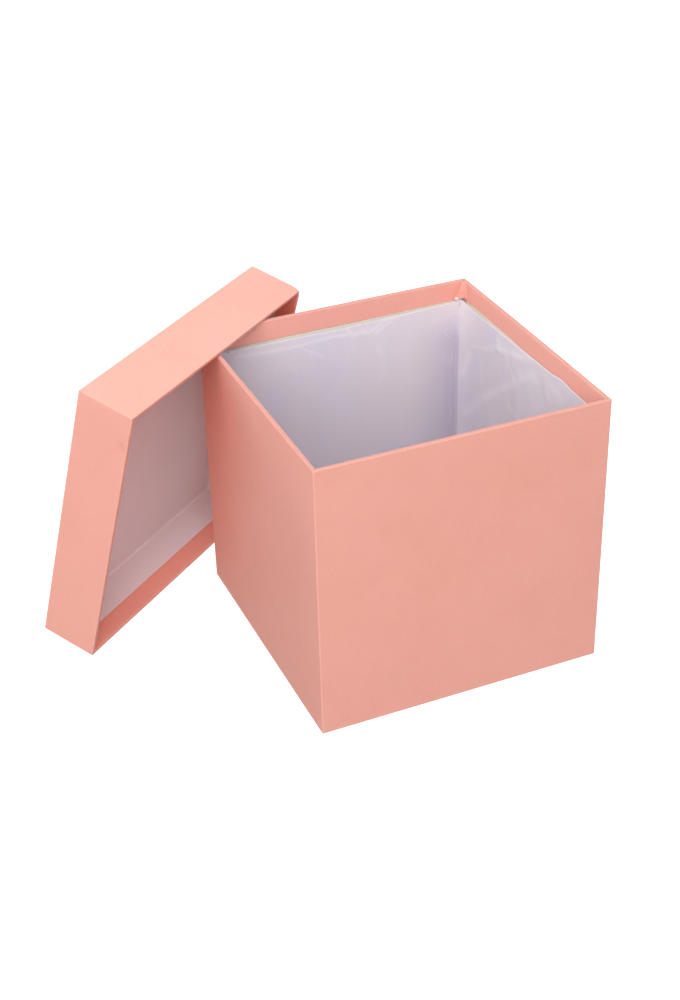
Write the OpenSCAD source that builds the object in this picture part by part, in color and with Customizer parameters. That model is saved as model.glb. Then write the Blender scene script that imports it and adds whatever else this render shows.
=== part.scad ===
// Rigid paper flower box: a square greyboard box covered in pink paper, with a film liner bag inside,
// and its loose telescoping lid leaning against one corner of the rim.
//
// Origin: centre of the box's base, on the surface it stands on. +X right, +Y back, +Z up.
// The lid is drawn as a tray in its own frame (panel at z = 0, skirt rising along +z) and then leaned.

/* [Box] */
// Outer width and depth of the square box
box_w = 200; // [195:1:240]
// Outer height of the box, from the surface it stands on to the rim
box_h = 196; // [150:1:198]
// Radius of the covered vertical corners
corner_r = 0.8; // [0.5:0.1:1.5]

/* [Materials] */
// Thickness of the greyboard panels
board_t = 2.4; // [1.5:0.1:3]
// Thickness of each layer of glued paper
paper_t = 0.2; // [0.1:0.05:0.3]
// Thickness of the corner stay tape, pressed flush into the board
stay_t = 0.15; // [0.1:0.05:0.2]
// Width of a corner stay on each side of its corner
stay_w = 18; // [10:1:25]

/* [Covering paper] */
// Depth that the covering paper turns in over the box's rim
turn_in = 15; // [8:1:25]
// Depth that the covering paper turns in over the lid's free edge
lid_turn_in = 14; // [8:1:20]
// Width of the ring that the covering paper turns under the base
turn_under = 15; // [8:1:30]
// Margin between the base's edge and the sheet glued over the turned-under ring
base_sheet_margin = 1.5; // [0.5:0.5:4]

/* [Film liner] */
// Height of each strip of film tape
tape_h = 10; // [6:1:15]
// Gap between a tape's end and the inner corner of the box
tape_end_gap = 5; // [2:1:20]
// Height of tape left bare above the film's top edge
tape_bare = 2.8; // [1:0.1:5]
// Thickness of the liner bag's film
film_t = 0.1; // [0.05:0.05:0.4]
// Radius at which the bag passes the inner corners of the box
film_corner_r = 10; // [2:1:20]

/* [Lid] */
// Outer depth of the lid, from its panel to its free edge
lid_depth = 40.5; // [25:0.5:60]
// Gap between the lid's inside and the box's outside, on each side, when the box is closed
lid_clearance = 0.4; // [0.3:0.1:1]
// Direction of the lid's level edges, turned from +X towards +Y
lid_yaw = 38; // [30:1:60]
// Distance that the box's corner reaches in past the lid's free edge
lean_reach = 30.5; // [15:0.5:34]
// Distance of the box's corner from the lid's middle, towards the lid's far skirt
lean_shift = 19; // [-40:1:40]
// Gap left between the lid's upper skirt and the rim under it
lean_gap = 0.3; // [0.3:0.1:1]

/* [Hidden] */
$fn = 48;

// Half widths of the box's layers, from the outside in
box_half = box_w / 2;
box_board_half = box_half - paper_t;
box_inner_half = box_board_half - board_t;
box_face_half = box_inner_half - paper_t;
film_half = box_face_half - paper_t;

// Heights in the box, from the ground up
base_under = 2 * paper_t;
base_top = base_under + board_t;
floor_top = base_top + paper_t;
board_top = box_h - paper_t;
turn_in_z = box_h - turn_in;
film_top = turn_in_z - tape_bare;

// Half widths of the lid's layers, from the outside in
wall_t = board_t + 2 * paper_t;
lid_half = box_half + lid_clearance + wall_t;
lid_board_half = lid_half - paper_t;
lid_inner_half = lid_board_half - board_t;
lid_face_half = lid_inner_half - paper_t;

// Heights in the lid's own frame
lid_panel_top = paper_t + board_t;
lid_panel_face = lid_panel_top + paper_t;
lid_board_end = lid_depth - paper_t;
lid_turn_in_z = lid_depth - lid_turn_in;

// The lid stands on its lower skirt and leans until its upper skirt is over the rim
lean = acos((box_h + lean_gap) / (2 * lid_half - wall_t));
lid_along = [cos(lid_yaw), sin(lid_yaw)];
lid_towards_box = [sin(lid_yaw), -cos(lid_yaw)];
lid_corner = [-box_half, box_half];
lean_back = (lid_half - wall_t) * sin(lean) + lid_depth * cos(lean) - lean_reach;
lid_plan = lid_corner - lid_along * lean_shift - lid_towards_box * lean_back;
lid_height = lid_half * cos(lean) + lid_depth * sin(lean);

// Quarter turns that bring the front wall's parts to the other walls
FRONT = 0;
RIGHT = 1;
BACK = 2;
LEFT = 3;

PINK = "#EBAA9C";
GREYBOARD = "#8E8A83";
KRAFT = "#B78F62";
WHITE = "#EFEBEC";
TAPE = "#D2CBB8";
FILM = [0.88, 0.86, 0.9, 0.6];

// Helpers

// Square of the given half width with its corners rounded to radius r
module round_square(half, r) {
    union() {
        square([2 * half, 2 * (half - r)], center = true);
        square([2 * (half - r), 2 * half], center = true);
        for (x = [-1, 1], y = [-1, 1]) translate([x * (half - r), y * (half - r)]) circle(r);
    }
}

module plain_square(half) {
    square(2 * half, center = true);
}

// Prism from z0 to z1 over a flat outline
module layer(z0, z1) {
    translate([0, 0, z0]) linear_extrude(z1 - z0) children();
}

module quarter_turn(turns) {
    rotate([0, 0, 90 * turns]) children();
}

// Outline of the board layer, with its corners rounded inside the paper
module board_outline(half) {
    round_square(half, corner_r - paper_t);
}

// Outline of the L-shaped stay at the front left corner
module stay_outline(half) {
    intersection() {
        difference() {
            board_outline(half);
            board_outline(half - stay_t);
        }
        translate([-half, -half]) square(stay_w);
    }
}

// Outline of a wall panel along the front side: a full one runs from corner to corner, and
// one that isn't full fits between the two beside it
module wall_outline(half, full) {
    side = full ? half : half - board_t;
    difference() {
        intersection() {
            board_outline(half);
            translate([-side, -half]) square([2 * side, board_t]);
        }
        for (turns = [FRONT, RIGHT]) quarter_turn(turns) stay_outline(half);
    }
}

module wall_panel(half, turns, z0, z1) {
    full = turns == FRONT || turns == BACK;
    quarter_turn(turns) layer(z0, z1) wall_outline(half, full);
}

module corner_stay(half, turns, z0, z1) {
    quarter_turn(turns) layer(z0, z1) stay_outline(half);
}

// Ring between two outlines, from z0 to z1
module paper_ring(z0, z1) {
    layer(z0, z1) difference() {
        children(0);
        children(1);
    }
}

// Moves the lid from its own frame to where it leans against the box
module lean_lid() {
    translate([lid_plan.x, lid_plan.y, lid_height]) rotate([90 + lean, 0, lid_yaw]) children();
}

// Box: greyboard

module base_board() {
    color(GREYBOARD) layer(base_under, base_top) board_outline(box_board_half);
}

module box_wall(turns) {
    color(GREYBOARD) wall_panel(box_board_half, turns, base_top, board_top);
}

module box_stay(turns) {
    color(KRAFT) corner_stay(box_board_half, turns, base_top, board_top);
}

// Box: paper

// One strip round the four walls, turned in over the rim and turned under the base
module wall_wrap() {
    color(PINK) union() {
        paper_ring(paper_t, box_h) {
            round_square(box_half, corner_r);
            board_outline(box_board_half);
        }
        paper_ring(board_top, box_h) {
            round_square(box_half, corner_r);
            plain_square(box_face_half);
        }
        paper_ring(turn_in_z, box_h) {
            plain_square(box_inner_half);
            plain_square(box_face_half);
        }
        paper_ring(paper_t, base_under) {
            round_square(box_half, corner_r);
            plain_square(box_half - turn_under);
        }
    }
}

module base_sheet() {
    color(PINK) layer(0, paper_t) plain_square(box_half - base_sheet_margin);
}

module wall_lining() {
    color(WHITE) paper_ring(floor_top, turn_in_z) {
        plain_square(box_inner_half);
        plain_square(box_face_half);
    }
}

module floor_lining() {
    color(WHITE) layer(base_top, floor_top) plain_square(box_inner_half);
}

// Box: film liner

module film_tape(turns) {
    half_length = box_face_half - tape_end_gap;
    color(TAPE) quarter_turn(turns) translate([-half_length, -box_face_half, turn_in_z - tape_h])
        cube([2 * half_length, paper_t, tape_h]);
}

// Open bag: straight walls between the tapes, and corners that pass the box's own at a radius
module film_liner() {
    color(FILM) difference() {
        layer(floor_top, film_top) round_square(film_half, film_corner_r);
        layer(floor_top + film_t, film_top + 1) round_square(film_half - film_t, film_corner_r - film_t);
    }
}

// Lid: greyboard

module lid_panel_board() {
    color(GREYBOARD) lean_lid() layer(paper_t, lid_panel_top) board_outline(lid_board_half);
}

module lid_wall(turns) {
    color(GREYBOARD) lean_lid() wall_panel(lid_board_half, turns, lid_panel_top, lid_board_end);
}

module lid_stay(turns) {
    color(KRAFT) lean_lid() corner_stay(lid_board_half, turns, lid_panel_top, lid_board_end);
}

// Lid: paper

// The covering sheet is one sheet folded over the panel and the skirt. It is drawn as its five
// folded panels, which meet at the folds, so that the lid stays open as a tray.

module lid_wrap_panel() {
    color(PINK) lean_lid() layer(0, paper_t) round_square(lid_half, corner_r);
}

// Outer face, free edge and turn-in of one side of the skirt, mitred at the corners
module lid_wrap_side(turns) {
    color(PINK) lean_lid() quarter_turn(turns) intersection() {
        layer(paper_t, lid_depth)
            polygon([[0, 0], [-lid_half, -lid_half], [lid_half, -lid_half]]);
        union() {
            paper_ring(0, lid_depth) {
                round_square(lid_half, corner_r);
                board_outline(lid_board_half);
            }
            paper_ring(lid_board_end, lid_depth) {
                round_square(lid_half, corner_r);
                plain_square(lid_face_half);
            }
            paper_ring(lid_turn_in_z, lid_depth) {
                plain_square(lid_inner_half);
                plain_square(lid_face_half);
            }
        }
    }
}

module lid_lining() {
    color(WHITE) lean_lid() difference() {
        layer(lid_panel_top, lid_turn_in_z) plain_square(lid_inner_half);
        layer(lid_panel_face, lid_turn_in_z + 1) plain_square(lid_face_half);
    }
}

base_board();
box_wall(FRONT);  // front_board
box_wall(RIGHT);  // right_board
box_wall(BACK);  // back_board
box_wall(LEFT);  // left_board
box_stay(FRONT);  // corner_stay_front_left
box_stay(RIGHT);  // corner_stay_front_right
box_stay(BACK);  // corner_stay_back_right
box_stay(LEFT);  // corner_stay_back_left
wall_wrap();
base_sheet();
wall_lining();
floor_lining();
film_tape(FRONT);  // film_tape_front
film_tape(RIGHT);  // film_tape_right
film_tape(BACK);  // film_tape_back
film_tape(LEFT);  // film_tape_left
film_liner();
lid_panel_board();
lid_wall(FRONT);  // lid_lower_board
lid_wall(RIGHT);  // lid_far_board
lid_wall(BACK);  // lid_upper_board
lid_wall(LEFT);  // lid_near_board
lid_stay(FRONT);  // lid_stay_lower_near
lid_stay(RIGHT);  // lid_stay_lower_far
lid_stay(BACK);  // lid_stay_upper_far
lid_stay(LEFT);  // lid_stay_upper_near
lid_wrap_panel();
lid_wrap_side(FRONT);  // lid_wrap_lower
lid_wrap_side(RIGHT);  // lid_wrap_far
lid_wrap_side(BACK);  // lid_wrap_upper
lid_wrap_side(LEFT);  // lid_wrap_near
lid_lining();
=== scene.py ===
"""Looks of the pink paper flower box: its papers, film liner, materials, floor, light and camera.

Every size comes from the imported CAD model, or is a named value in millimetres here.
"""

import math

import bmesh
import bpy
from mathutils import Matrix, Vector, noise


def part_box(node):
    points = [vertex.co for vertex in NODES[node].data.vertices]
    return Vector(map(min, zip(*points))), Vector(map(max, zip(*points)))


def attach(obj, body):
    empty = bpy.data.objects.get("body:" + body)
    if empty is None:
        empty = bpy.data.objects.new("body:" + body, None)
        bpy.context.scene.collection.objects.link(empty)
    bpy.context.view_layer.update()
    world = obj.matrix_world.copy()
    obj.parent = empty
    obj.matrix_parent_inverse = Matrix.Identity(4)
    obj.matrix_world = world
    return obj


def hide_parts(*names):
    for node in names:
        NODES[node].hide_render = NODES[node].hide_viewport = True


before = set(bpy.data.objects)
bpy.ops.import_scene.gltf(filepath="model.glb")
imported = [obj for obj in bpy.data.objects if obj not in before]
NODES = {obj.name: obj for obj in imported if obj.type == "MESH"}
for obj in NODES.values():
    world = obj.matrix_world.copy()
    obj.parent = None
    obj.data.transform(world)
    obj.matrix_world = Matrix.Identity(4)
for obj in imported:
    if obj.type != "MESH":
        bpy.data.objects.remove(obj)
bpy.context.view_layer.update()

MM = 0.001

# ---- sizes read from the CAD model

BOX_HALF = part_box("wall_wrap")[1].x
RIM_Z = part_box("wall_wrap")[1].z
UNDER_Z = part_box("wall_wrap")[0].z
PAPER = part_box("base_sheet")[1].z
FACE_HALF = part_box("film_tape_back")[1].y
WALL = BOX_HALF - FACE_HALF
TURN_IN_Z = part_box("wall_lining")[1].z
TAPE_LOW_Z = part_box("film_tape_back")[0].z
TAPE_HALF_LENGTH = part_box("film_tape_back")[1].x
FILM_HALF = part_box("film_liner")[1].x
FILM_LOW_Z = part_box("film_liner")[0].z
FILM_TOP_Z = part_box("film_liner")[1].z

# Folds of the covering paper, which the CAD model holds as sharp corners
TURN_UNDER = 15 * MM
CORNER_R = 0.8 * MM
CORNER_FOLD = 0.03
TURN_IN_FOLD = 0.2
RIM_UNEVEN = 0.09 * MM
EDGE_UNEVEN = 0.25 * MM
EDGE_REACH = 2 * MM
# The middle of a corner, where turned-in paper is slit, as shares of the corner's turn
SLIT_FROM = 0.3
SLIT_TO = 0.7
CORNER_NOTCH = 0.22 * MM
RIM_FOLD_R = 0.64 * MM
FOOT_FOLD_R = 0.6 * MM
LEAST_R = 0.08 * MM


def lid_frame():
    """Matrix of the lid's own frame, with its panel at z = 0 and its skirt rising along +z."""
    panel_low, panel_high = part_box("lid_wrap_panel")
    lining_low, lining_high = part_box("lid_lining")
    inward = (lining_low + lining_high) / 2 - (panel_low + panel_high) / 2
    normals = [face.normal for face in NODES["lid_wrap_panel"].data.polygons if face.area > 1e-3]
    z_axis = max(normals, key=lambda normal: normal.dot(inward)).normalized()
    x_axis = Vector((0, 0, 1)).cross(z_axis).normalized()
    y_axis = z_axis.cross(x_axis)
    middle = (panel_low + panel_high) / 2 - z_axis * PAPER / 2
    turn = Matrix((x_axis, y_axis, z_axis)).transposed().to_4x4()
    return Matrix.Translation(middle) @ turn


LID = lid_frame()


def lid_box(node):
    """Lowest and highest corner of a lid node in the lid's own frame."""
    to_lid = LID.inverted()
    points = [to_lid @ vertex.co for vertex in NODES[node].data.vertices]
    low = Vector(min(point[axis] for point in points) for axis in range(3))
    high = Vector(max(point[axis] for point in points) for axis in range(3))
    return low, high


LID_HALF = lid_box("lid_wrap_panel")[1].x
LID_DEPTH = lid_box("lid_wrap_upper")[1].z
lining_low, lining_high = lid_box("lid_lining")
LID_TURN_IN_Z = lining_high.z
LID_LINING_LOW = lining_low.z
LID_INNER_HALF = lining_high.x

# ---- colours


def linear(red, green, blue):
    """A colour given as it shows on screen, 0 to 255, as linear RGBA."""
    channels = [value / 255 for value in (red, green, blue)]
    return [c / 12.92 if c <= 0.04045 else ((c + 0.055) / 1.055) ** 2.4 for c in channels] + [1.0]


PINK = linear(234, 153, 134)
PINK_DEEP = linear(231, 148, 128)
PINK_SHADED = linear(230, 113, 84)
PINK_PALE = linear(237, 163, 146)
PINK_FOLD = linear(246, 186, 173)
# Colour of real stains on the lid, and of painted shade on the box's rim
PINK_STAIN_AND_SHADE = linear(156, 72, 56)
PAPER_CORE = linear(244, 236, 228)
LINING_COOL = linear(228, 214, 220)
LINING_WARM = linear(234, 217, 219)
LINING_FIBRE = linear(246, 240, 240)
LINING_SHADED = linear(222, 204, 207)
FILM_COOL = linear(225, 220, 232)
FILM_WARM = linear(231, 222, 227)
FILM_PALE = linear(246, 240, 246)
# Painted shade on the film behind its pleat and near its foot
FILM_HOLLOW_SHADE = linear(190, 180, 200)
TAPE_TONE = linear(190, 184, 170)
TAPE_PALE = linear(200, 194, 182)
SPECK = linear(70, 60, 66)
BOARD_DARK = linear(120, 114, 106)
BOARD_LIGHT = linear(158, 152, 143)
BOARD_FLECK = linear(196, 190, 178)
KRAFT_DARK = linear(160, 120, 80)
KRAFT_LIGHT = linear(186, 146, 104)
FLOOR_DARK = linear(168, 168, 168)
FLOOR_LIGHT = linear(174, 174, 174)

# ---- node materials

NOISE_LOW = 0.3
NOISE_HIGH = 0.7


class Shader:
    """One node material: each method adds a node and gives back its output socket."""

    def __init__(self, name, roughness, **fixed):
        self.material = bpy.data.materials.new(name)
        self.material.use_nodes = True
        self.tree = self.material.node_tree
        self.bsdf = self.tree.nodes["Principled BSDF"]
        self.bsdf.inputs["Roughness"].default_value = roughness
        for socket, value in fixed.items():
            self.bsdf.inputs[socket.replace("_", " ")].default_value = value
        self.place = self.node("ShaderNodeTexCoord").outputs["Object"]

    def node(self, kind, sockets=None, **settings):
        made = self.tree.nodes.new(kind)
        for name, value in settings.items():
            setattr(made, name, value)
        for name, value in (sockets or {}).items():
            if isinstance(value, bpy.types.NodeSocket):
                self.tree.links.new(value, made.inputs[name])
            elif value is not None:
                made.inputs[name].default_value = value
        return made

    def noise(self, size, detail=3.0, roughness=0.5, stretch=None, distortion=0.0):
        """Noise from 0 to 1 whose features are about that size, in metres."""
        place = self.place
        if stretch:
            place = self.node("ShaderNodeMapping", {"Vector": place, "Scale": stretch}).outputs["Vector"]
        sockets = {"Vector": place, "Scale": 1 / size, "Detail": detail, "Roughness": roughness,
                   "Distortion": distortion}
        return self.node("ShaderNodeTexNoise", sockets).outputs["Fac"]

    def borders(self, size, stretch, width):
        """1 on the straight borders of random cells of about that size, in metres, and 0 off them."""
        place = self.node("ShaderNodeMapping", {"Vector": self.place, "Scale": stretch}).outputs["Vector"]
        sockets = {"Vector": place, "Scale": 1 / size}
        away = self.node("ShaderNodeTexVoronoi", sockets, feature="DISTANCE_TO_EDGE").outputs["Distance"]
        return self.remap(away, 0.0, width, 1.0, 0.0)

    def openness(self, reach, closed, clear):
        """0 where surfaces within that reach close a place in, and 1 in the clear: a mask for painted shade.
        """
        made = self.node("ShaderNodeAmbientOcclusion", {"Distance": reach}, samples=6)
        return self.remap(made.outputs["AO"], closed, clear)

    def remap(self, value, low, high, to_low=0.0, to_high=1.0):
        sockets = {"Value": value, "From Min": low, "From Max": high, "To Min": to_low, "To Max": to_high}
        return self.node("ShaderNodeMapRange", sockets).outputs["Result"]

    def spread(self, value, to_low=0.0, to_high=1.0):
        """Spreads noise, which keeps near its middle, over a whole range."""
        return self.remap(value, NOISE_LOW, NOISE_HIGH, to_low, to_high)

    def math(self, operation, first, second):
        return self.node("ShaderNodeMath", {0: first, 1: second}, operation=operation).outputs[0]

    def attribute(self, name):
        return self.node("ShaderNodeAttribute", attribute_name=name).outputs["Fac"]

    def mix(self, share, first, second):
        return self.node("ShaderNodeMix", {0: share, 6: first, 7: second}, data_type="RGBA").outputs[2]

    def bump(self, height, distance, strength=1.0, normal=None):
        sockets = {"Height": height, "Distance": distance, "Strength": strength, "Normal": normal}
        return self.node("ShaderNodeBump", sockets).outputs["Normal"]

    def finish(self, colour, roughness=None, normal=None):
        for socket, value in (("Base Color", colour), ("Roughness", roughness), ("Normal", normal)):
            if value:
                self.tree.links.new(value, self.bsdf.inputs[socket])
        return self.material


def pink_paper():
    """Matt coated paper: mottled and cloudy, paler at folds, white where it is torn and darker at stains,
    with painted shade where nearby surfaces close it in and on the rim's top.
    """
    paper = Shader("pink_paper", 0.75, Specular_IOR_Level=1.0, IOR=1.95)
    clouds = paper.noise(0.045, detail=2)
    mottle = paper.noise(0.0016, detail=2, roughness=0.7)
    fibres = paper.noise(0.0006, detail=3, stretch=(1.0, 1.0, 0.35))
    scuffs = paper.remap(paper.noise(0.02, detail=5, roughness=0.7, distortion=1.5), 0.66, 0.8)
    tone = paper.mix(paper.spread(clouds), PINK_DEEP, PINK)
    tone = paper.mix(paper.remap(mottle, 0.35, 0.75, 0.0, 0.5), tone, PINK_PALE)
    tone = paper.mix(paper.math("MULTIPLY", scuffs, 0.18), tone, PINK_FOLD)
    # Painted shade: a deeper, redder pink where nearby surfaces close the paper in.
    tone = paper.mix(paper.openness(0.12, 0.15, 0.64), PINK_SHADED, tone)
    worn = paper.spread(paper.noise(0.003, detail=3), 0.35, 1.0)
    folds = paper.math("MULTIPLY", paper.attribute("fold"), worn)
    tone = paper.mix(folds, tone, PINK_FOLD)
    # Real stains on the lid, and painted shade on the rim's top and in the turn-in's corner slits.
    tone = paper.mix(paper.attribute("stain_and_shade"), tone, PINK_STAIN_AND_SHADE)
    tone = paper.mix(paper.attribute("torn"), tone, PAPER_CORE)
    roughness = paper.spread(paper.noise(0.008, detail=3), 0.7, 0.84)
    normal = paper.bump(paper.noise(0.03, detail=1), 0.00035, 0.35)
    normal = paper.bump(fibres, 0.00004, 0.5, normal)
    return paper.finish(tone, roughness, normal)


def lining_paper():
    """Uncoated white paper with a faint mauve cast and visible fibres, and painted shade where nearby
    surfaces close it in.
    """
    paper = Shader("lining_paper", 0.8, Specular_IOR_Level=0.25)
    clouds = paper.spread(paper.noise(0.05, detail=3))
    fibres = paper.noise(0.0012, detail=4, roughness=0.7)
    tone = paper.mix(clouds, LINING_COOL, LINING_WARM)
    tone = paper.mix(paper.remap(fibres, 0.45, 0.8, 0.0, 0.25), tone, LINING_FIBRE)
    # Painted shade: a greyer lining where nearby surfaces close it in.
    tone = paper.mix(paper.openness(0.06, 0.4, 0.95), LINING_SHADED, tone)
    normal = paper.bump(paper.noise(0.02, detail=2), 0.0004, 0.4)
    normal = paper.bump(fibres, 0.00006, 0.6, normal)
    return paper.finish(tone, paper.spread(fibres, 0.72, 0.88), normal)


# Specks of dirt on the back wall's film, under its top edge: (place, radius, strength), in millimetres
FILM_SPECKS = [((-62.9, 96.9, 177.9), 0.5, 0.4), ((-81.0, 96.9, 178.4), 0.55, 0.9),
               ((19.2, 96.9, 178.2), 0.45, 0.6)]
# The film's finest creases run between random facets: (facet size, crease width as a share of it, strength)
FINE_CREASES = [(0.05, 0.012, 1.0), (0.021, 0.022, 0.7)]
FINE_CREASES_FLAT = (1.0, 1.0, 2.4)
FINE_CREASES_FROM = 125 * MM
FINE_CREASES_LOW = 0.1


def fine_creases(film):
    """Thin straight creases, from 0 to 1, in patches and mostly near the film's top edge."""
    large, small = [film.math("MULTIPLY", film.borders(size, FINE_CREASES_FLAT, width), strength)
                    for size, width, strength in FINE_CREASES]
    height = film.node("ShaderNodeSeparateXYZ", {"Vector": film.place}).outputs["Z"]
    handled = film.remap(height, FINE_CREASES_FROM, FILM_TOP_Z, FINE_CREASES_LOW, 1.0)
    patches = film.remap(film.noise(0.03, detail=2), 0.5, 0.64)
    return film.math("MULTIPLY", film.math("MULTIPLY", patches, handled), film.math("MAXIMUM", large, small))


def specks(film, tone):
    """The film's tone with its specks of dirt."""
    for place, radius, strength in FILM_SPECKS:
        away = film.node("ShaderNodeVectorMath", {0: film.place, 1: Vector(place) * MM}, operation="DISTANCE")
        spot = film.remap(away.outputs["Value"], radius * MM / 2, radius * MM, strength, 0.0)
        tone = film.mix(spot, tone, SPECK)
    return tone


def liner_film():
    """Milky plastic film: hazy, slightly see-through, paler along its creases (partly stress whitening,
    partly painted highlight), with painted shade behind its pleat and near its foot.
    """
    film = Shader("liner_film", 0.4, Specular_IOR_Level=0.45, Alpha=0.86)
    clouds = film.spread(film.noise(0.04, detail=4, distortion=0.6))
    streaks = film.noise(0.009, detail=5, roughness=0.65, distortion=0.8)
    creases = fine_creases(film)
    tone = film.mix(clouds, FILM_COOL, FILM_WARM)
    tone = film.mix(film.remap(streaks, 0.5, 0.8, 0.0, 0.18), tone, FILM_PALE)
    # Painted shade behind the pleat, a little on its flap, and near the foot.
    tone = film.mix(film.attribute("hollow_shade"), tone, FILM_HOLLOW_SHADE)
    # Paler along fine and large creases: partly stress whitening, partly painted highlight.
    tone = film.mix(film.math("MULTIPLY", creases, 0.5), tone, FILM_PALE)
    tone = film.mix(film.attribute("fold"), tone, FILM_PALE)
    tone = specks(film, tone)
    crumple = film.noise(0.014, detail=5, roughness=0.55, distortion=1.2)
    normal = film.bump(crumple, 0.0006, 0.22)
    normal = film.bump(creases, 0.0003, 0.5, normal)
    return film.finish(tone, film.spread(streaks, 0.3, 0.5), normal)


def film_tape():
    """Thin beige adhesive tape with faint long streaks and a few dark specks."""
    tape = Shader("film_tape", 0.42, Specular_IOR_Level=0.5)
    streaks = tape.noise(0.004, detail=3, stretch=(0.3, 0.3, 1.5))
    flecks = tape.remap(tape.noise(0.0022, detail=1), 0.79, 0.83)
    tone = tape.mix(tape.spread(streaks), TAPE_TONE, TAPE_PALE)
    tone = tape.mix(flecks, tone, SPECK)
    normal = tape.bump(streaks, 0.0001, 0.5)
    return tape.finish(tone, tape.spread(streaks, 0.35, 0.5), normal)


def greyboard():
    """Recycled grey board: short mixed fibres with light flecks."""
    board = Shader("greyboard", 0.9, Specular_IOR_Level=0.15)
    fibres = board.noise(0.0009, detail=5, roughness=0.8)
    flecks = board.remap(board.noise(0.0025, detail=2), 0.62, 0.7)
    tone = board.mix(board.spread(fibres), BOARD_DARK, BOARD_LIGHT)
    tone = board.mix(board.math("MULTIPLY", flecks, 0.6), tone, BOARD_FLECK)
    return board.finish(tone, board.spread(fibres, 0.82, 0.95), board.bump(fibres, 0.00015, 0.8))


def kraft_tape():
    """Brown gummed kraft tape with fine ribs along its length."""
    tape = Shader("kraft_tape", 0.6, Specular_IOR_Level=0.3)
    ribs = tape.noise(0.0008, detail=2, stretch=(1.0, 1.0, 0.06))
    clouds = tape.spread(tape.noise(0.01, detail=3))
    tone = tape.mix(clouds, KRAFT_DARK, KRAFT_LIGHT)
    return tape.finish(tone, tape.spread(ribs, 0.5, 0.7), tape.bump(ribs, 0.00008, 0.6))


FINISHES = (pink_paper, lining_paper, liner_film, film_tape, greyboard, kraft_tape)
MATERIALS = {finish.__name__: finish() for finish in FINISHES}


def dress_cad_nodes():
    """Gives every CAD node the material that a word of its name calls for."""
    finishes = {"board": "greyboard", "stay": "kraft_tape", "wrap": "pink_paper", "sheet": "pink_paper",
                "lining": "lining_paper", "tape": "film_tape", "liner": "liner_film"}
    for name, node in NODES.items():
        finish = next(finishes[word] for word in name.split("_") if word in finishes)
        slots = node.data.materials
        if not slots:
            slots.append(None)
        for place in range(len(slots)):
            slots[place] = MATERIALS[finish]


# ---- mesh helpers

FRONT, RIGHT, BACK, LEFT = range(4)


def smooth(value, low, high):
    """0 below low, 1 above high, and a smooth step between them."""
    share = min(1.0, max(0.0, (value - low) / (high - low)))
    return share * share * (3 - 2 * share)


def wobble(x, y, size, seed=0.0):
    """Smooth repeatable noise from -1 to 1 with features of that size."""
    return noise.noise(Vector((x / size, y / size, seed * 7.31)))


def along_ring(station):
    """A place along a ring for wobble, 200 for each side."""
    return (station[0] * 2 + station[1]) * 100


def held_at_corners(along, power=8):
    """1 along a side, and 0 at its corners, which hold an edge still."""
    return 1 - abs(along) ** power


def arc(centre, radius, first, last, steps, fold=0.0):
    """Profile points (inset, height, fold) along an arc, with angles from +inset towards +height."""
    points = []
    for step in range(steps + 1):
        angle = math.radians(first + (last - first) * step / steps)
        inset = centre[0] + radius * math.cos(angle)
        points.append((inset, centre[1] + radius * math.sin(angle), fold))
    return points


SUPPORT = 0.4 * MM


def line(first, last, spacing):
    """Profile points between two points, about that far apart, with one close to each end."""
    reach = math.dist(first, last)
    steps = max(1, round(reach / spacing))
    support = min(SUPPORT, reach / 4) / reach
    shares = [support] + [step / steps for step in range(1, steps)] + [1 - support]
    shares = sorted(share for share in shares if support <= share <= 1 - support)
    return [(first[0] + (last[0] - first[0]) * s, first[1] + (last[1] - first[1]) * s, 0.0) for s in shares]


def turned_in(low, high, wall, turn_in_z, radii, folds, spacing):
    """Section of paper from a fold at its foot, up and over an edge, down inside as a turn-in, and back.

    radii are the foot's and the edge's. folds tell how worn the foot and the edge's two folds are."""
    foot, edge = radii
    edge_z = high - edge
    path = arc((foot, low + foot), foot, 270, 180, 4, folds[0])
    path += line((0, low + foot), (0, edge_z), spacing[0])
    path += arc((edge, edge_z), edge, 180, 90, 4, folds[1])
    path += line((edge, high), (wall - edge, high), 0.8 * MM)
    path += arc((wall - edge, edge_z), edge, 90, 0, 4, folds[2])
    path += line((wall, edge_z), (wall, turn_in_z), 2.5 * MM)
    path += [(wall, turn_in_z, TURN_IN_FOLD), (wall - PAPER, turn_in_z, TURN_IN_FOLD)]
    path += line((wall - PAPER, turn_in_z), (wall - PAPER, edge_z), 5 * MM)
    path += arc((wall - edge, edge_z), edge - PAPER, 0, 90, 3)
    path += arc((edge, edge_z), edge - PAPER, 90, 180, 3)
    path += line((PAPER, edge_z), (PAPER, low + foot), spacing[1])
    return path + arc((foot, low + foot), foot - PAPER, 180, 270, 3)


def edge_rise(station, inset, height, edge_z, turn_in_z, wall, edge_wave, turn_in_wave):
    """How far paper's uneven folded edge and turned-in edge stand up. A wave is (size, seed)."""
    rise = 0.0
    held = held_at_corners(station[1])
    if height > edge_z - EDGE_REACH:
        rise = RIM_UNEVEN * wobble(along_ring(station), inset / MM, *edge_wave) * held
        if SLIT_FROM < station[2] < SLIT_TO:
            rise -= CORNER_NOTCH
    if inset > wall / 2 and abs(height - turn_in_z) < PAPER / 2:
        rise += EDGE_UNEVEN * wobble(along_ring(station), 0, *turn_in_wave) * held
    return rise


NEAR_CORNER = [1, 0.996, 0.988]


def ring_stations(steps, arc_steps):
    """Stations round a square: (side, place from -1 to 1 along it, share of the corner's quarter turn)."""
    stations = []
    inner = [-1 + 2 * step / steps for step in range(1, steps)]
    straight = [-place for place in NEAR_CORNER] + inner + NEAR_CORNER[::-1]
    for side in range(4):
        stations += [(side, along, 0.0) for along in straight]
        stations += [(side, 1.0, step / arc_steps) for step in range(1, arc_steps)]
    return stations


RING = ring_stations(64, 6)


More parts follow.
